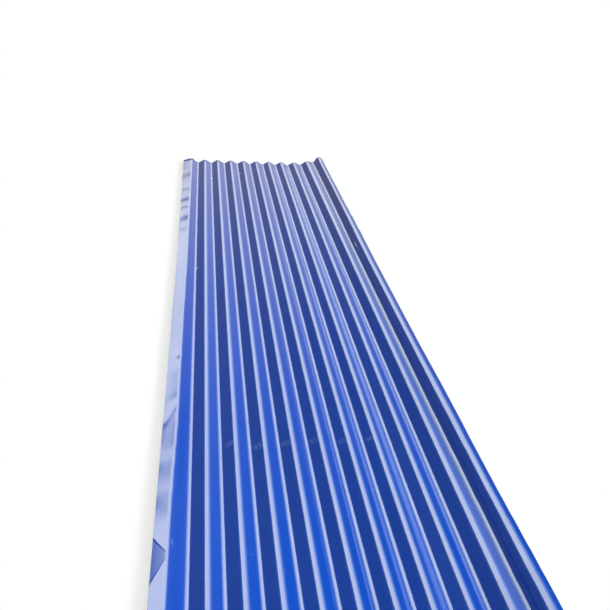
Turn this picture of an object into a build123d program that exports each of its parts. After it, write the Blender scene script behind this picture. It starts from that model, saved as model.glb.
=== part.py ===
from build123d import *
from math import atan, cos, degrees, radians, sin, tan
import os

# The whole sheet, in millimetres
SHEET_LENGTH = 3000.0
SHEET_THICKNESS = 0.5

# The rolled wave: straight flanks between broad round crests and tighter round valleys
WAVE_PITCH = 76.0
WAVE_DEPTH = 18.0
REGULAR_WAVES = 7
FLANK_STRAIGHT = 20.5
CREST_RADIUS = 22.0

# The left edge: a narrow flat lip that falls away outside a sharper, taller ridge
RIDGE_RUN = 42.0
RIDGE_RADIUS = 10.0
LIP_WIDTH = 34.0
LIP_FALL_ANGLE = 5.0

# The right side: the eighth wave falls off gently, and the ninth is pulled open and climbs
EASED_FALL_ANGLE = 25.0
OPEN_RISE_ANGLE = 40.0
OPEN_FALL_ANGLE = 12.5
OPEN_RADIUS = 29.0

# The right edge: the last crest stands up steeply as a rib, and the sheet ends on its outer flank
RIB_RISE_ANGLE = 62.0
RIB_FALL_ANGLE = 46.0
RIB_RADIUS = 26.0
RIB_FLANK = 56.0
OUTER_FLANK = 51.0

# One half wave goes from valley to crest: bend, straight flank, bend the other way.
# Its flank angle and the sum of its two radii follow from its run, rise and straight length.
half_pitch = WAVE_PITCH / 2
wave_rise = WAVE_DEPTH - SHEET_THICKNESS
flank_angle = degrees(2 * atan(wave_rise / (half_pitch + FLANK_STRAIGHT)))
flank_cosine = cos(radians(flank_angle))
radius_sum = (half_pitch - FLANK_STRAIGHT * flank_cosine) / sin(radians(flank_angle))
valley_radius = radius_sum - CREST_RADIUS
flank_length = half_pitch / flank_cosine


def step(point, length, angle):
    """The point at a length along a direction, in degrees above level."""
    return point + Vector(length * cos(radians(angle)), length * sin(radians(angle)))


# The flanks from the first valley to the right edge, each with its length and its slope
regular_wave = [(flank_length, flank_angle), (flank_length, -flank_angle)]
eighth_wave = [(flank_length, flank_angle), (flank_length, -EASED_FALL_ANGLE)]
ninth_wave = [(flank_length, OPEN_RISE_ANGLE), (flank_length, -OPEN_FALL_ANGLE)]
rib = [(RIB_FLANK, RIB_RISE_ANGLE), (OUTER_FLANK, -RIB_FALL_ANGLE)]

# The corners of the underside from left to right, and the radius that rounds each inner one
first_valley = Vector(0, 0)
ridge = step(first_valley, RIDGE_RUN / flank_cosine, 180 - flank_angle)
lip_edge = ridge - Vector(LIP_WIDTH, LIP_WIDTH * tan(radians(LIP_FALL_ANGLE)))
corners = [lip_edge, ridge, first_valley]
for length, slope in regular_wave * REGULAR_WAVES + eighth_wave + ninth_wave + rib:
    corners.append(step(corners[-1], length, slope))

bend_radii = [RIDGE_RADIUS, valley_radius]
bend_radii += [CREST_RADIUS, valley_radius] * (REGULAR_WAVES + 1)
bend_radii += [OPEN_RADIUS, valley_radius, RIB_RADIUS]

# The section: the underside with its bends, and the upper face one thickness above it
with BuildSketch() as section:
    with BuildLine() as skin:
        FilletPolyline(*corners, radius=bend_radii)
        offset(amount=SHEET_THICKNESS, side=Side.LEFT, closed=True)
    make_face()

# The valleys lie on the floor, and the sheet's width is centred on the origin
outline = section.sketch.bounding_box()
section_plane = Plane(
    origin=(-outline.center().X, 0, -outline.min.Y),
    x_dir=(1, 0, 0),
    z_dir=(0, -1, 0),
)

with BuildPart() as corrugated_sheet:
    with BuildSketch(section_plane):
        add(section.sketch)
    extrude(amount=SHEET_LENGTH / 2, both=True)

print(f"flank angle {flank_angle:.1f} degrees, valley radius {valley_radius:.1f} mm")
print(f"sheet {corrugated_sheet.part.bounding_box().size}")

os.makedirs("parts", exist_ok=True)
corrugated_sheet.part.label = "corrugated_sheet"
export_step(corrugated_sheet.part, "parts/corrugated_sheet.step")
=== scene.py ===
# %% [markdown]
# A long sheet of blue roofing steel lies on a pale floor, and the camera looks down its waves.
# The CAD model gives the frame: its box, its axes and its one body. The sheet is modelled again
# here, because a mirror-like paint shows every facet of the coarse CAD mesh, and because the dents
# along its edges are damage, which the CAD model leaves out.

# %% Load the frame
from math import atan, cos, degrees, radians, sin, tan

import bmesh
import bpy
from mathutils import Matrix, Vector


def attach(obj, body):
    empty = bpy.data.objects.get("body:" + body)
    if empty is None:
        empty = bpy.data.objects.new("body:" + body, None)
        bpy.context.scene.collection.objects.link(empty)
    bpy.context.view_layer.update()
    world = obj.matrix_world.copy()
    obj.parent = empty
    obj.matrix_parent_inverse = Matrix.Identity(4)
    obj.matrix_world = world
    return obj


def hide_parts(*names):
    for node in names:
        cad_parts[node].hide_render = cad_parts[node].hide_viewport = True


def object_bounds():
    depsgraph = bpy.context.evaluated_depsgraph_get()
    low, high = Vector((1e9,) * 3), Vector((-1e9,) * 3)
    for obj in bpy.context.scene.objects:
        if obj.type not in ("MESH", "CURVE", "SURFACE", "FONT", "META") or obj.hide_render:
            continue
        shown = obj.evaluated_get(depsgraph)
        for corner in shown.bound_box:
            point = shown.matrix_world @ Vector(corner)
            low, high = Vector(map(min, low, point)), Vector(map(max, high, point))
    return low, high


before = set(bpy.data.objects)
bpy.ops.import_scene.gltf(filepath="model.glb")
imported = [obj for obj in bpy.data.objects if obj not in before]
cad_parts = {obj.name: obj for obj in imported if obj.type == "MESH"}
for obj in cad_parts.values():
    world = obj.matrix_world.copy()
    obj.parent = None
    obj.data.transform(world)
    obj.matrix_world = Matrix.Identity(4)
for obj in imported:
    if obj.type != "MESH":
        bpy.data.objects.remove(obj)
cad_low, cad_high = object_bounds()
MM = 0.001
sheet_length = (cad_high.y - cad_low.y) / MM
print(f"CAD box {[round(side, 4) for side in cad_high - cad_low]} m, sheet {sheet_length:.0f} mm long")

# %% [markdown]
# The section is a row of straight runs joined by round bends, the way a roll former leaves it.
# It could be drawn as a curve and swept, but a run and a bend are also what extrude and spin make,
# so the sheet is folded up from one edge like strip metal. A few driving sizes are enough: the wave's
# pitch, depth and straight flank give its angle, and with the crest's radius also the valley's. At the
# left a flat lip falls away from a sharper ridge. At the right one wave falls off gently, the next is
# pulled open, and the last crest stands up as a rib. The rib's outer flank has been sprung up in
# handling, so it is flatter and shorter here than in the CAD model, and the rib's crest stays where it is.

# %% Driving sizes of the section, in millimetres and degrees
SHEET_THICKNESS = 0.5
WAVE_PITCH = 76.0
WAVE_DEPTH = 18.0
REGULAR_WAVES = 7
FLANK_STRAIGHT = 20.5
CREST_RADIUS = 22.0

LIP_WIDTH = 34.0
LIP_FALL = 5.0
RIDGE_RUN = 42.0
RIDGE_RADIUS = 10.0

EASED_FALL = 25.0
OPEN_RISE = 40.0
OPEN_FALL = 12.5
OPEN_RADIUS = 29.0

RIB_RISE = 62.0
RIB_FALL = 27.0
RIB_RADIUS = 26.0
RIB_FLANK = 45.8
OUTER_FLANK = 33.5

half_pitch = WAVE_PITCH / 2
flank_angle = degrees(2 * atan((WAVE_DEPTH - SHEET_THICKNESS) / (half_pitch + FLANK_STRAIGHT)))
flank_cosine = cos(radians(flank_angle))
radius_sum = (half_pitch - FLANK_STRAIGHT * flank_cosine) / sin(radians(flank_angle))
valley_radius = radius_sum - CREST_RADIUS
flank_length = half_pitch / flank_cosine
print(f"flanks at {flank_angle:.1f} degrees, valleys of {valley_radius:.1f} mm radius")

# %% The runs from corner to corner, each with its length and its heading above level
runs = [
    (LIP_WIDTH / cos(radians(LIP_FALL)), LIP_FALL),
    (RIDGE_RUN / flank_cosine, -flank_angle),
]
runs += [(flank_length, flank_angle), (flank_length, -flank_angle)] * REGULAR_WAVES
runs += [(flank_length, flank_angle), (flank_length, -EASED_FALL)]
runs += [(flank_length, OPEN_RISE), (flank_length, -OPEN_FALL)]
runs += [(RIB_FLANK, RIB_RISE), (OUTER_FLANK, -RIB_FALL)]

bend_radii = [RIDGE_RADIUS, valley_radius]
bend_radii += [CREST_RADIUS, valley_radius] * (REGULAR_WAVES + 1)
bend_radii += [OPEN_RADIUS, valley_radius, RIB_RADIUS]
print(f"{len(runs)} straight runs and {len(bend_radii)} bends")

# %% [markdown]
# The strip starts from a plane as long as the sheet, of which only the left edge is kept. That edge
# lies where the lip's free edge lies in the CAD frame. It is divided along its length before it is
# folded, so that the dents have points to move: closely at the camera's end, where they show most,
# and more coarsely beyond.

# %% The free edge of the lip
bpy.ops.object.select_all(action="DESELECT")
valley_depth = valley_radius * (1 / flank_cosine - 1)
lip_height = RIDGE_RUN * tan(radians(flank_angle)) - LIP_WIDTH * tan(radians(LIP_FALL)) - valley_depth
lip_edge = cad_low.x / MM + SHEET_THICKNESS * sin(radians(LIP_FALL))
tip = Vector((lip_edge, 0, lip_height)) * MM

bpy.ops.mesh.primitive_plane_add(
    size=sheet_length * MM,
    location=tip + Vector((sheet_length / 2 * MM, 0, 0)),
)
sheet = bpy.context.object
sheet.name = "painted_sheet"
bpy.ops.object.transform_apply(location=True, rotation=True, scale=True)


def select_points(test):
    """Selects the points of the sheet, in edit mode, whose place in millimetres passes a test."""
    bpy.ops.mesh.select_mode(type="VERT")
    bpy.ops.mesh.select_all(action="DESELECT")
    skin = bmesh.from_edit_mesh(sheet.data)
    chosen = [point for point in skin.verts if test(point.co / MM)]
    for point in chosen:
        point.select_set(True)
    skin.select_flush_mode()
    bmesh.update_edit_mesh(sheet.data)
    return len(chosen)


bpy.ops.object.mode_set(mode="EDIT")
select_points(lambda place: place.x > lip_edge + LIP_WIDTH)
bpy.ops.mesh.delete(type="VERT")
print(f"lip edge at {[round(side, 2) for side in tip / MM]} mm")

# %% Loops along the length
NEAR_STRETCH = 1100.0
NEAR_SPACING = 7.4
FAR_SPACING = 10.5
PICK_BAND = 1.0
far_stretch = sheet_length - NEAR_STRETCH
split = NEAR_STRETCH - sheet_length / 2

bpy.ops.mesh.select_all(action="SELECT")
bpy.ops.mesh.subdivide(number_cuts=1)
select_points(lambda place: abs(place.y) < PICK_BAND)
bpy.ops.transform.translate(value=(0, split * MM, 0))
select_points(lambda place: place.y < split + PICK_BAND)
bpy.ops.mesh.subdivide(number_cuts=round(NEAR_STRETCH / NEAR_SPACING) - 1)
select_points(lambda place: place.y > split - PICK_BAND)
bpy.ops.mesh.subdivide(number_cuts=round(far_stretch / FAR_SPACING) - 1)
bpy.ops.mesh.select_all(action="SELECT")
print(f"{len(bmesh.from_edit_mesh(sheet.data).edges)} edges along the lip")

# %% [markdown]
# Each run extrudes the edge along its heading, and each bend spins it about a line along the sheet.
# With no window, spin turns anticlockwise seen from the front, so a turn to the left is a positive
# angle. The lip gets several strips, so that it can be dented, and a flat flank needs only one.

# %% Fold the strip, run by run
BEND_STEP = 11.0
LIP_STRIPS = 8
RIDGE_STRIPS = 3


def direction(heading):
    """The unit vector of a heading, in degrees above level, seen from the front."""
    return Vector((cos(radians(heading)), 0, sin(radians(heading))))


taken = 0.0
for corner, (length, heading) in enumerate(runs):
    is_last = corner == len(runs) - 1
    turn = 0.0 if is_last else runs[corner + 1][1] - heading
    radius = 0.0 if is_last else bend_radii[corner]
    given = radius * tan(radians(abs(turn) / 2))
    strips = {0: LIP_STRIPS, 1: RIDGE_STRIPS}.get(corner, 1)
    strip = direction(heading) * (length - taken - given) / strips * MM
    for _ in range(strips):
        bpy.ops.mesh.extrude_region_move(TRANSFORM_OT_translate={"value": strip})
        tip += strip
    taken = given
    if not is_last:
        side = 1 if turn > 0 else -1
        steps = round(abs(turn) / BEND_STEP)
        centre = tip + direction(heading + 90 * side) * radius * MM
        bpy.ops.mesh.spin(steps=steps, angle=radians(turn), center=centre, axis=(0, 1, 0))
        tip = centre - direction(heading + turn + 90 * side) * radius * MM
outer_edge = tip.x / MM
print(f"outer edge at {[round(side, 2) for side in tip / MM]} mm")

# %% One skin, with faces that look up
MERGE_DISTANCE = 0.01
bpy.ops.mesh.select_all(action="SELECT")
bpy.ops.mesh.remove_doubles(threshold=MERGE_DISTANCE * MM)
bpy.ops.mesh.normals_make_consistent(inside=False)
skin = bmesh.from_edit_mesh(sheet.data)
if sum(face.normal.z for face in skin.faces) < 0:
    bpy.ops.mesh.flip_normals()
print(f"{len(skin.faces)} faces in one skin")

# %% [markdown]
# The lip is only half a millimetre of steel with one free edge, so handling has creased it. A dent is
# pressed in as on a soft sheet: a stretch of the free edge is moved, and proportional editing draws the
# rest after it. A linear falloff gives a flat facet with folds at its ends, a smooth one a soft ripple.
# The paint is so glossy that a tilt of two degrees already shows, so the dents are only about a
# millimetre deep. The list runs from the camera's end to the far end, and its places follow the photo.

# %% A press, and the places on the sheet that it needs


def on_lip_edge(place):
    """True on the free edge of the lip."""
    return place.x < lip_edge + PICK_BAND


def on_far_end(place):
    """True on the sheared end that is farthest from the camera."""
    return place.y > sheet_length / 2 - PICK_BAND


def press(test, move, reach, falloff="SMOOTH"):
    """Moves the points that pass a test by millimetres, and draws what is within reach after them."""
    count = select_points(test)
    bpy.ops.transform.translate(
        value=Vector(move) * MM,
        use_proportional_edit=True,
        proportional_edit_falloff=falloff,
        proportional_size=reach * MM,
    )
    return count


def press_lip(along, half_run, rise, reach, falloff):
    """Moves a stretch of the lip's free edge up or down."""
    return press(
        lambda place: on_lip_edge(place) and abs(place.y - along) < half_run,
        (0, 0, rise),
        reach,
        falloff,
    )


print(f"ready to press the lip, whose free edge is at {lip_edge:.1f} mm")

# %% Dents and ripples along the lip
LIP_RAISE = 1.0
LIP_REACH = LIP_WIDTH + 2
LIP_DENTS = [
    # along the sheet, half length, rise, reach, falloff
    (-1400, 60, -0.5, 36, "LINEAR"),
    (-880, 200, -0.6, 36, "LINEAR"),
    (-1058, 24, -0.6, 36, "LINEAR"),
    (-947, 22, -0.8, 36, "LINEAR"),
    (-825, 36, -1.1, 38, "LINEAR"),
    (-620, 60, -1.0, 38, "SMOOTH"),
    (560, 940, -0.9, 40, "LINEAR"),
    (400, 6, -1.0, 26, "SMOOTH"),
    (489, 6, -1.1, 28, "SMOOTH"),
    (622, 26, -1.2, 32, "SMOOTH"),
    (755, 8, -1.3, 30, "SMOOTH"),
    (855, 20, -1.2, 32, "SMOOTH"),
    (989, 10, -0.9, 32, "SMOOTH"),
    (1222, 24, -0.7, 36, "SMOOTH"),
]
press_lip(0, sheet_length, LIP_RAISE, LIP_REACH, "LINEAR")
moved = [press_lip(*dent) for dent in LIP_DENTS]
print(f"{len(moved)} dents pressed into the lip, from {min(moved)} to {max(moved)} points each")

# %% [markdown]
# Close to the camera the lip has a folded facet: a flat triangle between two sharp folds, with its tip
# at the ridge and its base on the free edge. A press would only give a soft dent, so bisect cuts the lip
# along the folds, and the triangle is turned down about the ridge. Each fold gets four cuts side by
# side, which keep the shading flat right up to it.

# %% The folded facet
FACET_TIP = -1197
FACET_BASE = (-1263, -1156)
FACET_TURN = 2.5
FACET_SURROUND = 120
FOLD_CUTS = (-2, 0, 3, 5)
FOLD_TAPER = 6
FOLD_SLACK = 0.1
TIP_SHARE = 0.02
ridge_top = lip_edge + LIP_WIDTH


def cut_lip(tip_along, base_along):
    """Cuts the lip along a straight line from the ridge to the free edge."""
    select_points(lambda place: place.x < ridge_top and abs(place.y - FACET_TIP) < FACET_SURROUND)
    line = Vector((-LIP_WIDTH, base_along - tip_along, 0))
    bpy.ops.mesh.bisect(
        plane_co=Vector((ridge_top, tip_along, 0)) * MM,
        plane_no=line.cross(Vector((0, 0, 1))).normalized(),
    )


def in_facet(place):
    """True between the two inner folds."""
    share = (ridge_top - place.x) / LIP_WIDTH
    start, end = [FACET_TIP + (base - FACET_TIP) * share for base in FACET_BASE]
    return share > TIP_SHARE and start - FOLD_SLACK < place.y < end + FOLD_SLACK


for base, side in zip(FACET_BASE, (-1, 1)):
    for outward in FOLD_CUTS:
        cut_lip(FACET_TIP + side * outward / FOLD_TAPER, base + side * outward)
facet_points = select_points(in_facet)
bpy.ops.transform.rotate(
    value=radians(FACET_TURN),
    orient_axis="Y",
    center_override=Vector((ridge_top, FACET_TIP, lip_height)) * MM,
)
print(f"facet folded down, {facet_points} points")

# %% [markdown]
# The rest of the damage is small. A slanting crease crosses the lip, a notch is bent into it at the
# ridge, the far corner is curled down, and the shears have drawn the far end down a little. A crease is
# a press on a slanting row of points with a sharp falloff. The row is wider than the points are far
# apart along the sheet, so that it has no gaps.

# %% The slanting crease and the notch at the ridge
CREASE_START = -790
CREASE_SLANT = 90 / LIP_WIDTH
CREASE_MOVE = (0, 0, -0.5)
CREASE_REACH = 16
NOTCH_START = -505
NOTCH_SLANT = 1.0
NOTCH_MOVE = (0, 0, -1.4)
NOTCH_REACH = 12
HALF_ROW = 6


def on_slant(place, start, slant):
    """True along a slanting row of points, which starts on the lip's free edge."""
    inward = place.x - lip_edge
    return inward < LIP_WIDTH and abs(place.y - start - inward * slant) < HALF_ROW


def on_notch(place):
    """True along a slanting row in the inner half of the lip."""
    return place.x - lip_edge > LIP_WIDTH / 2 and on_slant(place, NOTCH_START, NOTCH_SLANT)


creased = press(
    lambda place: on_slant(place, CREASE_START, CREASE_SLANT), CREASE_MOVE, CREASE_REACH, "SHARP"
)
notched = press(on_notch, NOTCH_MOVE, NOTCH_REACH, "SHARP")
print(f"crease along {creased} points, notch along {notched}")

# %% The curled corner and the sheared far end
CORNER_CURL = (-4, 0, -6)
CORNER_REACH = 30
END_DRAW = (0, 0, -1)
END_REACH = 16
VALLEY_BAND = 3

press(lambda place: on_lip_edge(place) and on_far_end(place), CORNER_CURL, CORNER_REACH)
drawn = press(lambda place: on_far_end(place) and place.z > VALLEY_BAND, END_DRAW, END_REACH, "LINEAR")
print(f"corner curled down, {drawn} points of the far end drawn down, its valleys left on the floor")

# %% The ridge that wanders inwards, and the lip that spreads towards the far end
RIDGE_BAND = 8
RIDGE_SHIFT = Vector((1.3, 0, 0))
RIDGE_STARTS = [-1010, -930, -860, -800, -150, 60]
LIP_SPREAD = Vector((-2.2, 0, -0.4))
SPREAD_STARTS = [500, 820, 1120, 1330]
for start in RIDGE_STARTS:
    press(
        lambda place: abs(place.x - ridge_top) < RIDGE_BAND and place.y > start,
        RIDGE_SHIFT,
        LIP_WIDTH,
    )
for start in SPREAD_STARTS:
    press(lambda place: on_lip_edge(place) and place.y > start, LIP_SPREAD, LIP_WIDTH, "LINEAR")
print(f"ridge moved by up to {len(RIDGE_STARTS) * RIDGE_SHIFT.x:.1f} mm")

# %% [markdown]
# The right side is not quite straight either: it bows inwards by a few millimetres in the middle, as a
# long free edge of thin steel does, and its outer edge wanders. Beyond the middle the rib leans outwards,
# and at the far end it is bent up and stands well above the other crests. One wide press would move the
# neighbours too, so the bow, the lean and the lift are made by rows of small presses.

# %% The bowed right side
BOW_MIDDLE = -200
BOW_SHIFT = Vector((-1.0, 0, 0))
BOW_HALF_RUNS = [1120, 900, 740, 600]
BOW_REACH = 40
BOW_BAND = (70, 10)
bow_start, bow_end = [outer_edge - inset for inset in BOW_BAND]


def in_bow(place, half_run):
    """True from the last valley to the top of the rib, along the bowed stretch."""
    return bow_start < place.x < bow_end and abs(place.y - BOW_MIDDLE) < half_run


for half_run in BOW_HALF_RUNS:
    press(lambda place: in_bow(place, half_run), BOW_SHIFT, BOW_REACH)
print(f"right side bowed in by up to {-len(BOW_HALF_RUNS) * BOW_SHIFT.x:.0f} mm")

# %% The rib, which leans inwards as far as the middle and outwards beyond it
RIB_SHIFT = Vector((-0.25, 0, 0))
RIB_REACH = 22
RIB_CROWN = 8
INWARD_ENDS = range(620, 921, 40)
OUTWARD_STARTS = range(140, 471, 30)
rib_top = cad_high.z / MM - RIB_CROWN

for end in INWARD_ENDS:
    press(lambda place: place.z > rib_top and place.y < end, RIB_SHIFT, RIB_REACH)
for start in OUTWARD_STARTS:
    press(lambda place: place.z > rib_top and place.y > start, -RIB_SHIFT, RIB_REACH)
print(f"rib leans inwards in {len(INWARD_ENDS)} small steps and outwards in {len(OUTWARD_STARTS)}")

# %% The uneven right edge
EDGE_STRIP = 9
EDGE_REACH = 45
EDGE_MOVES = [
    # along the sheet, half length, move across and up
    (-1400, 120, (1.2, 0, 0)),
    (-1400, 200, (1.2, 0, 0)),
    (-740, 60, (0.7, 0, 0.2)),
    (-740, 130, (0.7, 0, 0.2)),
    (-740, 200, (0.7, 0, 0.1)),
    (610, 20, (-0.8, 0, 0.8)),
    (1080, 620, (-1.5, 0, 0)),
    (1150, 520, (-1.5, 0, 0)),
    (1150, 420, (-2.0, 0, 0)),
]
for along, half_run, move in EDGE_MOVES:
    press(
        lambda place: place.x > outer_edge - EDGE_STRIP and abs(place.y - along) < half_run,
        move,
        EDGE_REACH,
    )
print(f"{len(EDGE_MOVES)} soft bends in the right edge")

# %% The lifted end of the rib
LIFT_RUN = 320.0
LIFT_STEP = 20.0
LIFT_REACH = 38
LIFT_CROWN = 3
END_LIFT = Vector((0.4, 0, 2.0))
lifted_crown = cad_high.z / MM - LIFT_CROWN
for number in range(round(LIFT_RUN / LIFT_STEP)):
    along = sheet_length / 2 - number * LIFT_STEP
    growth = (1 - number * LIFT_STEP / LIFT_RUN) ** 2
    press(
        lambda place: place.z > lifted_crown and abs(place.y - along) < LIFT_STEP / 2,
        END_LIFT * growth,
        LIFT_REACH,
    )
bpy.ops.object.mode_set(mode="OBJECT")
highest = max(point.co.z for point in sheet.data.vertices) / MM
print(f"rib end at {highest:.1f} mm")

# %% [markdown]
# The skin so far is the underside, so Solidify grows it upwards by the gauge of the steel. Its two
# offsets send the back and the cut edge to their own material slots: the face is painted blue, the back
# has a grey backing coat, and the cut edge shows bare galvanised steel.

# %% Thickness
gauge = sheet.modifiers.new("gauge", "SOLIDIFY")
gauge.thickness = SHEET_THICKNESS * MM
gauge.offset = 1
gauge.use_even_offset = True
gauge.material_offset = 1
gauge.material_offset_rim = 2
print(f"{SHEET_THICKNESS} mm of steel")

# %% [markdown]
# The materials are small node trees. Three helpers keep them short: one turns the hex code of a colour
# into the linear light that the renderer works in, one adds a node and wires it up, and one starts an
# empty material. Every pattern reads Object coordinates, which are metres on the sheet itself, so a
# scale of one divided by a length in metres gives a pattern of that size.

# %% Helpers for materials


def linear_colour(code):
    """The linear colour of an sRGB hex code."""
    channels = [int(code[place:place + 2], 16) / 255 for place in (1, 3, 5)]
    return [c / 12.92 if c < 0.04045 else ((c + 0.055) / 1.055) ** 2.4 for c in channels] + [1.0]


def add_node(tree, kind, inputs=None, stops=None, **settings):
    """Adds a node with its settings, and gives each input a value or a link."""
    node = tree.nodes.new(kind)
    for name, value in settings.items():
        setattr(node, name, value)
    for socket, value in (inputs or {}).items():
        if isinstance(value, bpy.types.NodeSocket):
            tree.links.new(value, node.inputs[socket])
        else:
            node.inputs[socket].default_value = value
    for place, level in stops or []:
        stop = node.color_ramp.elements.new(place)
        stop.color = (level, level, level, 1)
    if stops:
        node.color_ramp.elements.remove(node.color_ramp.elements[0])
        node.color_ramp.elements.remove(node.color_ramp.elements[-1])
    return node


def new_material(name):
    """An empty node material, and its tree."""
    material = bpy.data.materials.new(name)
    material.use_nodes = True
    material.node_tree.nodes.clear()
    return material, material.node_tree


print("helpers ready")

# %% [markdown]
# The face is a polyester coil coating: a film that is rolled on wet and baked before the sheet is formed.
# A single blue with some gloss would do from far away. Close up the film has a faint drift of colour,
# long streaks of duller gloss from the rollers, and a very shallow ripple. Handling has left scuffs
# where a strap lay across the crests, and a few chips down to the zinc. The chips are a pale blue white,
# which is the bare zinc and also a painted highlight for the glint of light on the nicks. Each mark is
# an ellipse with a place, two half sizes and a turn, so it stays a short list that can be edited.

# %% Marks on the paint
MARK_CORE = 0.5
SCUFFS = [
    # across, along, half width and half length in millimetres, and turn in degrees
    (-373, -1166, 4, 13, 10),
    (-202, -1200, 13, 2.2, -14),
    (-138, -1247, 7, 2.0, 20),
    (-262, -985, 9, 2.0, -6),
    (-240, -866, 15, 13, -30),
    (-166, -878, 19, 14, -24),
    (-92, -870, 17, 12, -28),
    (-14, -866, 16, 12, -20),
    (62, -872, 13, 11, -26),
    (138, -868, 13, 10, -22),
    (-66, -520, 3, 80, 0),
]
# Chips down to bare zinc, whose pale blue white also paints the glint of light on the nicks
ZINC_CHIPS_AND_GLINTS = [
    (-264, 1230, 3.6, 22, 8),
    (-105, 1314, 9, 10, 0),
    (-334, 144, 3.6, 13, -20),
    (195, 774, 3.0, 10, 0),
]


def marks_mask(tree, place, marks):
    """A mask of ellipses on the sheet: one in the core of any of them, and fading to its rim."""
    mask = None
    for across, along, half_width, half_length, turn in marks:
        inside = add_node(
            tree,
            "ShaderNodeMapping",
            {
                "Vector": place,
                "Location": Vector((across, along, 0)) * MM,
                "Rotation": (0, 0, radians(turn)),
                "Scale": (half_width * MM, half_length * MM, 1),
            },
            vector_type="TEXTURE",
        )
        distance = add_node(
            tree, "ShaderNodeVectorMath", {0: inside.outputs["Vector"]}, operation="LENGTH"
        )
        mark = add_node(
            tree,
            "ShaderNodeMapRange",
            {"Value": distance.outputs["Value"], "From Min": 1.0, "From Max": MARK_CORE},
        ).outputs["Result"]
        if mask is None:
            mask = mark
        else:
            mask = add_node(tree, "ShaderNodeMath", {0: mask, 1: mark}, operation="MAXIMUM").outputs[0]
    return mask


print(f"{len(SCUFFS)} scuffs and {len(ZINC_CHIPS_AND_GLINTS)} chips")

# %% Where the paint is scuffed
GRIT_SIZE = 5


def scuffed_share(tree, place):
    """How far the paint is scuffed: the marks, broken up by the grit that made them."""
    grit = add_node(
        tree, "ShaderNodeTexNoise", {"Vector": place, "Scale": 1 / (GRIT_SIZE * MM), "Detail": 3}
    )
    broken = add_node(
        tree,
        "ShaderNodeMapRange",
        {"Value": grit.outputs["Fac"], "From Min": 0.42, "From Max": 0.6, "To Max": 0.5},
    )
    scuffed = add_node(
        tree,
        "ShaderNodeMath",
        {0: marks_mask(tree, place, SCUFFS), 1: broken.outputs["Result"]},
        operation="MULTIPLY",
    )
    return scuffed.outputs[0]


print(f"scuffs broken up by grit of {GRIT_SIZE} mm")

# %% Colour of the paint
DRIFT_SIZE = 220


def paint_colour(tree, place, scuffed):
    """Blue with a faint drift, paler where it is scuffed, and pale blue white in the chips: bare zinc,
    with the glint of light on the nicks painted in.
    """
    drift = add_node(
        tree, "ShaderNodeTexNoise", {"Vector": place, "Scale": 1 / (DRIFT_SIZE * MM), "Detail": 3}
    )
    colour = add_node(
        tree,
        "ShaderNodeMix",
        {
            "Factor": drift.outputs["Fac"],
            "A": linear_colour("#0B50CC"),
            "B": linear_colour("#0F56D4"),
        },
        data_type="RGBA",
    )
    worn = add_node(
        tree,
        "ShaderNodeMix",
        {"Factor": scuffed, "A": colour.outputs["Result"], "B": linear_colour("#7A9BEC")},
        data_type="RGBA",
    )
    # Bare zinc in the chips, and a painted highlight there too: the pale blue white stands in for the
    # glint of light on the nicks
    chipped_and_glinting = add_node(
        tree,
        "ShaderNodeMix",
        {
            "Factor": marks_mask(tree, place, ZINC_CHIPS_AND_GLINTS),
            "A": worn.outputs["Result"],
            "B": linear_colour("#D5E2F5"),
        },
        data_type="RGBA",
    )
    return chipped_and_glinting.outputs["Result"]


print(f"blue that drifts over {DRIFT_SIZE} mm")

# %% Gloss of the paint, with streaks from the rollers along the sheet
STREAK_WIDTH = 16
STREAK_LENGTH = 320
SCUFF_DULLNESS = 0.4


def paint_gloss(tree, place, scuffed):
    """The roughness of the paint: low, with duller streaks, and dull where it is scuffed."""
    drawn_out = add_node(
        tree, "ShaderNodeMapping", {"Vector": place, "Scale": (1, STREAK_WIDTH / STREAK_LENGTH, 1)}
    )
    streaks = add_node(
        tree,
        "ShaderNodeTexNoise",
        {"Vector": drawn_out.outputs["Vector"], "Scale": 1 / (STREAK_WIDTH * MM), "Detail": 2},
    )
    gloss = add_node(
        tree,
        "ShaderNodeMapRange",
        {
            "Value": streaks.outputs["Fac"],
            "From Min": 0.3,
            "From Max": 0.7,
            "To Min": 0.05,
            "To Max": 0.11,
        },
    )
    dulled = add_node(
        tree,
        "ShaderNodeMath",
        {0: scuffed, 1: SCUFF_DULLNESS, 2: gloss.outputs["Result"]},
        operation="MULTIPLY_ADD",
    )
    return dulled.outputs[0]


print(f"streaks {STREAK_WIDTH} mm wide and {STREAK_LENGTH} mm long")

# %% Blue polyester coil coating
RIPPLE_SIZE = 9
RIPPLE_HEIGHT = 0.012


def blue_coil_coating():
    """Baked polyester on steel: an even, glossy film whose clear gloss mirrors the sky."""
    material, tree = new_material("blue_polyester_coil_coating")
    place = add_node(tree, "ShaderNodeTexCoord").outputs["Object"]
    scuffed = scuffed_share(tree, place)
    # The ripple of the baked film is drawn coarser than it is, so that it shows
    ripple = add_node(
        tree, "ShaderNodeTexNoise", {"Vector": place, "Scale": 1 / (RIPPLE_SIZE * MM), "Detail": 1}
    )
    film = add_node(
        tree,
        "ShaderNodeBump",
        {"Strength": 1.0, "Distance": RIPPLE_HEIGHT * MM, "Height": ripple.outputs["Fac"]},
    )
    paint = add_node(
        tree,
        "ShaderNodeBsdfPrincipled",
        {
            "Base Color": paint_colour(tree, place, scuffed),
            "Roughness": paint_gloss(tree, place, scuffed),
            "IOR": 1.5,
            "Normal": film.outputs["Normal"],
            "Coat Weight": 1.0,
            "Coat Roughness": 0.03,
        },
    )
    add_node(tree, "ShaderNodeOutputMaterial", {"Surface": paint.outputs["BSDF"]})
    return material


print(f"blue coating with a ripple of {RIPPLE_SIZE} mm")

# %% [markdown]
# The back of such a sheet gets only a thin grey backing coat, and the ends are sheared after coating, so
# the cut edge is bare. Both are seen from below or close to the ends. Their mottling comes from noise:
# some centimetres wide where primer was rolled on thinly, and a few millimetres where zinc crystals show.

# %% Grey backing coat
MOTTLE_SIZE = 45


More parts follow.
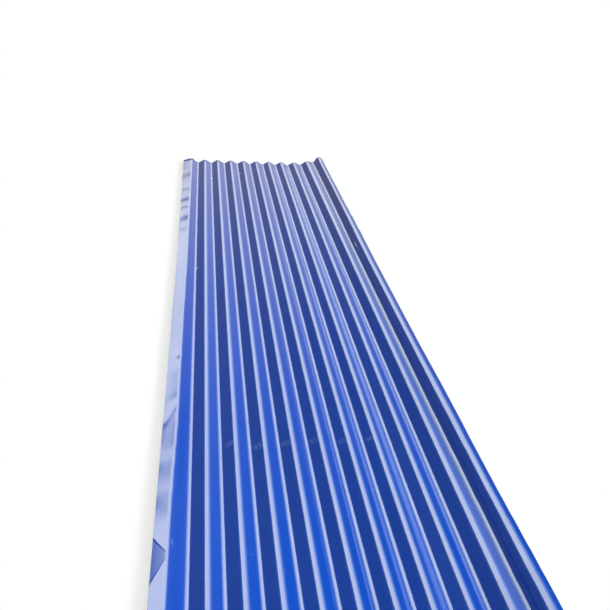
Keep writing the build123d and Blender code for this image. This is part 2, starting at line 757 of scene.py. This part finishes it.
def grey_backing_coat():
    """A thin primer on the back: dull, grey and slightly uneven."""
    material, tree = new_material("grey_backing_coat")
    place = add_node(tree, "ShaderNodeTexCoord").outputs["Object"]
    mottle = add_node(
        tree, "ShaderNodeTexNoise", {"Vector": place, "Scale": 1 / (MOTTLE_SIZE * MM), "Detail": 5}
    )
    colour = add_node(
        tree,
        "ShaderNodeMix",
        {
            "Factor": mottle.outputs["Fac"],
            "A": linear_colour("#7B8188"),
            "B": linear_colour("#A0A5AB"),
        },
        data_type="RGBA",
    )
    dullness = add_node(
        tree,
        "ShaderNodeMapRange",
        {"Value": mottle.outputs["Fac"], "To Min": 0.38, "To Max": 0.62},
    )
    paint = add_node(
        tree,
        "ShaderNodeBsdfPrincipled",
        {"Base Color": colour.outputs["Result"], "Roughness": dullness.outputs["Result"], "IOR": 1.5},
    )
    add_node(tree, "ShaderNodeOutputMaterial", {"Surface": paint.outputs["BSDF"]})
    return material


print(f"backing coat with a mottle of {MOTTLE_SIZE} mm")

# %% Cut edge
CRYSTAL_SIZE = 4


def galvanised_edge():
    """Sheared steel with its zinc smeared over: bright, grey and matt."""
    material, tree = new_material("sheared_galvanised_steel")
    place = add_node(tree, "ShaderNodeTexCoord").outputs["Object"]
    crystals = add_node(
        tree, "ShaderNodeTexNoise", {"Vector": place, "Scale": 1 / (CRYSTAL_SIZE * MM), "Detail": 2}
    )
    colour = add_node(
        tree,
        "ShaderNodeMix",
        {
            "Factor": crystals.outputs["Fac"],
            "A": linear_colour("#8C9196"),
            "B": linear_colour("#BCC1C6"),
        },
        data_type="RGBA",
    )
    metal = add_node(
        tree,
        "ShaderNodeBsdfPrincipled",
        {"Base Color": colour.outputs["Result"], "Roughness": 0.45, "Metallic": 1.0},
    )
    add_node(tree, "ShaderNodeOutputMaterial", {"Surface": metal.outputs["BSDF"]})
    return material


print(f"cut edge with zinc crystals of {CRYSTAL_SIZE} mm")

# %% [markdown]
# The materials go on in the order of the slots, and the thickness is applied, so that the mesh is final.
# Smooth shading by angle lets the mirror images run evenly round the bends and keeps the cut edge crisp.
# The finished sheet rides on the one body and stands for the CAD sheet.

# %% Dress the sheet
SMOOTH_ANGLE = 50
for material in (blue_coil_coating(), grey_backing_coat(), galvanised_edge()):
    sheet.data.materials.append(material)
bpy.ops.object.select_all(action="DESELECT")
sheet.select_set(True)
bpy.context.view_layer.objects.active = sheet
bpy.ops.object.modifier_apply(modifier=gauge.name)
bpy.ops.object.shade_smooth_by_angle(angle=radians(SMOOTH_ANGLE))

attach(sheet, "root")
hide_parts("corrugated_sheet")

faces = sheet.data.polygons
triangles = sum(len(face.vertices) - 2 for face in faces)
shares = [sum(face.material_index == slot for face in faces) for slot in range(3)]
print(f"{triangles} triangles, faces on the front, back and edge {shares}")

# %% [markdown]
# The floor is plain white board. Lit board alone would render pale grey, so part of its white is a glow
# that only the camera, mirrors and glass see. The rest is real shading, and keeps the sheet's shadow.

# %% Floor
FLOOR_SIDE = 400.0
FLOOR_GLOW = 0.58
bpy.ops.mesh.primitive_plane_add(size=FLOOR_SIDE, location=(0, 0, 0))
floor = bpy.context.object
floor.name = "floor"


def mirrored_share(tree, rays):
    """One for the rays that come from gloss or through glass, and zero for all others."""
    mirrored = add_node(
        tree,
        "ShaderNodeMath",
        {0: rays["Is Glossy Ray"], 1: rays["Is Transmission Ray"]},
        operation="MAXIMUM",
    )
    return mirrored.outputs[0]


def white_board():
    """Matt white board: it takes the shadow, and the camera and gloss see it close to white."""
    material, tree = new_material("matt_white_board")
    rays = add_node(tree, "ShaderNodeLightPath").outputs
    seen = add_node(
        tree,
        "ShaderNodeMath",
        {0: rays["Is Camera Ray"], 1: mirrored_share(tree, rays)},
        operation="MAXIMUM",
    )
    glow = add_node(tree, "ShaderNodeMath", {0: seen.outputs[0], 1: FLOOR_GLOW}, operation="MULTIPLY")
    board = add_node(
        tree,
        "ShaderNodeBsdfPrincipled",
        {
            "Base Color": linear_colour("#B8B8BF"),
            "Roughness": 0.9,
            "Specular IOR Level": 0.0,
            "Emission Color": (1, 1, 1, 1),
            "Emission Strength": glow.outputs[0],
        },
    )
    add_node(tree, "ShaderNodeOutputMaterial", {"Surface": board.outputs["BSDF"]})
    return material


floor.data.materials.append(white_board())
print(f"floor {FLOOR_SIDE:.0f} m wide")

# %% [markdown]
# Glossy paint looks like what it mirrors, so the sky is drawn with care. A bright strip runs overhead
# along the waves. Its left edge is sharp, which gives the crisp border between the pale lines and the
# dark flanks, and its right side turns bluer and fades softly. A thin dimmer line in it splits each pale
# line in two. A haze fills the rest, faint at the left and stronger to the right. Each is a colour ramp
# over the lean of a direction, which is its angle to the right of straight up.

# %% Lean of the strip and of the haze
world = bpy.data.worlds.new("studio")
bpy.context.scene.world = world
world.use_nodes = True
sky = world.node_tree
sky.nodes.clear()

view_line = add_node(sky, "ShaderNodeTexCoord").outputs["Generated"]
across, ahead, up = add_node(sky, "ShaderNodeSeparateXYZ", {"Vector": view_line}).outputs
lean = add_node(sky, "ShaderNodeMath", {0: across, 1: up}, operation="ARCTAN2").outputs[0]
lean_share = add_node(
    sky,
    "ShaderNodeMapRange",
    {"Value": lean, "From Min": radians(-90), "From Max": radians(90)},
).outputs["Result"]


def lean_stop(angle, level):
    """A ramp stop at an angle to the right of straight up."""
    return ((angle + 90) / 180, level)


strip = add_node(
    sky,
    "ShaderNodeValToRGB",
    {"Fac": lean_share},
    stops=[
        lean_stop(-40, 0),
        lean_stop(-19.5, 0.06),
        lean_stop(-17.5, 0.2),
        lean_stop(-15, 0.75),
        lean_stop(-12.5, 0.96),
        lean_stop(-8, 1),
        lean_stop(0, 1),
        lean_stop(2.5, 0.78),
        lean_stop(7, 0.78),
        lean_stop(10, 0.95),
        lean_stop(18, 0.96),
        lean_stop(30, 0.62),
        lean_stop(42, 0.29),
        lean_stop(54, 0.07),
        lean_stop(68, 0.004),
        lean_stop(82, 0),
    ],
)
haze_side = add_node(
    sky,
    "ShaderNodeValToRGB",
    {"Fac": lean_share},
    stops=[lean_stop(-30, 0.48), lean_stop(30, 1)],
)
left_glow = add_node(
    sky,
    "ShaderNodeValToRGB",
    {"Fac": lean_share},
    stops=[lean_stop(-60, 0.19), lean_stop(-20, 0.06), lean_stop(-10, 0)],
)
print("strip of sky overhead, haze to its right and a faint glow to its left")

# %% [markdown]
# The strip and the haze also change along the sheet. The strip dims towards the horizon ahead, because
# paint mirrors more strongly at a low angle, and the haze is faint overhead and strong far ahead. Behind
# the camera the strip runs on for the gloss alone, so that the waves also show from above and from the
# far end. One long strip for all rays would also light the flanks that have to stay dark.

# %% Change from behind the camera to far ahead
ahead_share = add_node(
    sky,
    "ShaderNodeMapRange",
    {"Value": ahead, "From Min": -1, "From Max": 1},
).outputs["Result"]


def ahead_stop(share, level):
    """A ramp stop at a share of the way ahead, from -1 behind the camera to 1 in front."""
    return ((share + 1) / 2, level)


strip_fade = add_node(
    sky,
    "ShaderNodeValToRGB",
    {"Fac": ahead_share},
    stops=[
        ahead_stop(0.34, 0),
        ahead_stop(0.5, 1),
        ahead_stop(0.6, 0.97),
        ahead_stop(0.8, 0.66),
        ahead_stop(0.9, 0.41),
        ahead_stop(0.955, 0.22),
        ahead_stop(0.972, 0.04),
    ],
)
haze = add_node(
    sky,
    "ShaderNodeValToRGB",
    {"Fac": ahead_share},
    stops=[
        ahead_stop(-0.2, 0.16),
        ahead_stop(0.3, 0.04),
        ahead_stop(0.55, 0.03),
        ahead_stop(0.75, 0.17),
        ahead_stop(0.955, 0.56),
        ahead_stop(0.972, 0.14),
    ],
)
strip_behind = add_node(
    sky,
    "ShaderNodeValToRGB",
    {"Fac": ahead_share},
    stops=[
        ahead_stop(-0.972, 0.04),
        ahead_stop(-0.9, 0.25),
        ahead_stop(0, 0.4),
        ahead_stop(0.5, 0.95),
        ahead_stop(0.55, 0),
    ],
)
print("strip and haze fade from behind to ahead")

# %% Light of the strip and of the haze
STRIP_LEVEL = 6.0
rays = add_node(sky, "ShaderNodeLightPath").outputs
mirrored = mirrored_share(sky, rays)
behind_mirrored = add_node(
    sky,
    "ShaderNodeMath",
    {0: strip_behind.outputs["Color"], 1: mirrored},
    operation="MULTIPLY",
)
strip_reach = add_node(
    sky,
    "ShaderNodeMath",
    {0: strip_fade.outputs["Color"], 1: behind_mirrored.outputs[0]},
    operation="MAXIMUM",
)
strip_faded = add_node(
    sky,
    "ShaderNodeMath",
    {0: strip.outputs["Color"], 1: strip_reach.outputs[0]},
    operation="MULTIPLY",
)
strip_light = add_node(
    sky,
    "ShaderNodeMath",
    {0: strip_faded.outputs[0], 1: STRIP_LEVEL},
    operation="MULTIPLY",
)
haze_ahead = add_node(
    sky,
    "ShaderNodeMath",
    {0: haze.outputs["Color"], 1: haze_side.outputs["Color"]},
    operation="MULTIPLY",
)
haze_light = add_node(
    sky,
    "ShaderNodeMath",
    {0: haze_ahead.outputs[0], 1: left_glow.outputs["Color"]},
    operation="MAXIMUM",
)
print(f"strip of sky at {STRIP_LEVEL} times white")

# %% Colours of the sky
BLUE_START = 8
BLUE_FULL = 30
right_share = add_node(
    sky,
    "ShaderNodeMapRange",
    {"Value": lean, "From Min": radians(BLUE_START), "From Max": radians(BLUE_FULL)},
)
strip_colour = add_node(
    sky,
    "ShaderNodeMix",
    {
        "Factor": right_share.outputs["Result"],
        "A": linear_colour("#FDFFE8"),
        "B": linear_colour("#E0F3F8"),
    },
    data_type="RGBA",
)
strip_sky = add_node(
    sky,
    "ShaderNodeBackground",
    {"Color": strip_colour.outputs["Result"], "Strength": strip_light.outputs[0]},
)
haze_sky = add_node(
    sky,
    "ShaderNodeBackground",
    {"Color": linear_colour("#FFF5E6"), "Strength": haze_light.outputs[0]},
)
studio = add_node(sky, "ShaderNodeAddShader", {0: strip_sky.outputs[0], 1: haze_sky.outputs[0]})
print("cream strip that turns blue to the right, and a warm haze")

# %% [markdown]
# The camera sees plain white in place of this sky, and so does the gloss close to the horizon, where the
# white floor would go on. Light Path tells the rays apart.

# %% White behind everything
HORIZON_BAND = 0.006
horizon = add_node(
    sky,
    "ShaderNodeMapRange",
    {"Value": up, "From Min": HORIZON_BAND, "From Max": 0.0},
)
mirrored_low = add_node(
    sky,
    "ShaderNodeMath",
    {0: mirrored, 1: horizon.outputs["Result"]},
    operation="MULTIPLY",
)
white_share = add_node(
    sky,
    "ShaderNodeMath",
    {0: rays["Is Camera Ray"], 1: mirrored_low.outputs[0]},
    operation="MAXIMUM",
)
backdrop = add_node(sky, "ShaderNodeBackground", {"Color": (1, 1, 1, 1), "Strength": 1.0})
shown = add_node(
    sky,
    "ShaderNodeMixShader",
    {0: white_share.outputs[0], 1: studio.outputs[0], 2: backdrop.outputs[0]},
)
add_node(sky, "ShaderNodeOutputWorld", {"Surface": shown.outputs[0]})
print("white background for the camera, the gloss and glass")

# %% [markdown]
# The key light comes from behind the camera on the right and lies low, along the slope of the flanks.
# That is what makes the flanks that face right bright blue and those that face left dark. A sun lamp
# lights the floor evenly as far as it goes, and its wide disc keeps the shadows soft. The gloss mirrors
# only the sky: the disc itself would burn out the lip in a view from the far end.

# %% Key lamp
KEY_PLACE = Vector((10.1, -7.0, 6.7))
KEY_STRENGTH = 2.1
KEY_DISC = 20
bpy.ops.object.light_add(type="SUN", location=KEY_PLACE)
key = bpy.context.object
key.name = "key_sun"
key.data.angle = radians(KEY_DISC)
key.data.energy = KEY_STRENGTH
key.visible_glossy = False
key.rotation_euler = KEY_PLACE.to_track_quat("Z", "Y").to_euler()
print(f"key lamp of strength {KEY_STRENGTH}")

# %% [markdown]
# The camera was found from the photo: the straight lines of the waves meet at a vanishing point, which
# gives its yaw, pitch and roll, and the spacing of the waves gives its height. Its place is in
# millimetres in the sheet's own frame. The lens follows from the focal length in pixels, because the
# picture is as wide as the sensor.

# %% Camera
FRAME_PIXELS = 610
FOCAL_PIXELS = 600
SENSOR_WIDTH = 36
CAMERA_PLACE = Vector((-297.6, -2035, 1142))
CAMERA_YAW = 10.89
CAMERA_PITCH = 30.68
CAMERA_ROLL = 5.26

bpy.ops.object.camera_add(location=CAMERA_PLACE * MM)
camera = bpy.context.object
camera.data.sensor_width = SENSOR_WIDTH
camera.data.lens = FOCAL_PIXELS / FRAME_PIXELS * SENSOR_WIDTH
aim = Matrix.Rotation(radians(-CAMERA_YAW), 4, "Z")
aim = aim @ Matrix.Rotation(radians(90 - CAMERA_PITCH), 4, "X")
aim = aim @ Matrix.Rotation(radians(CAMERA_ROLL), 4, "Z")
camera.rotation_euler = aim.to_euler()
bpy.context.scene.camera = camera
bpy.context.scene.view_settings.view_transform = "Standard"
print(f"lens of {camera.data.lens:.1f} mm")
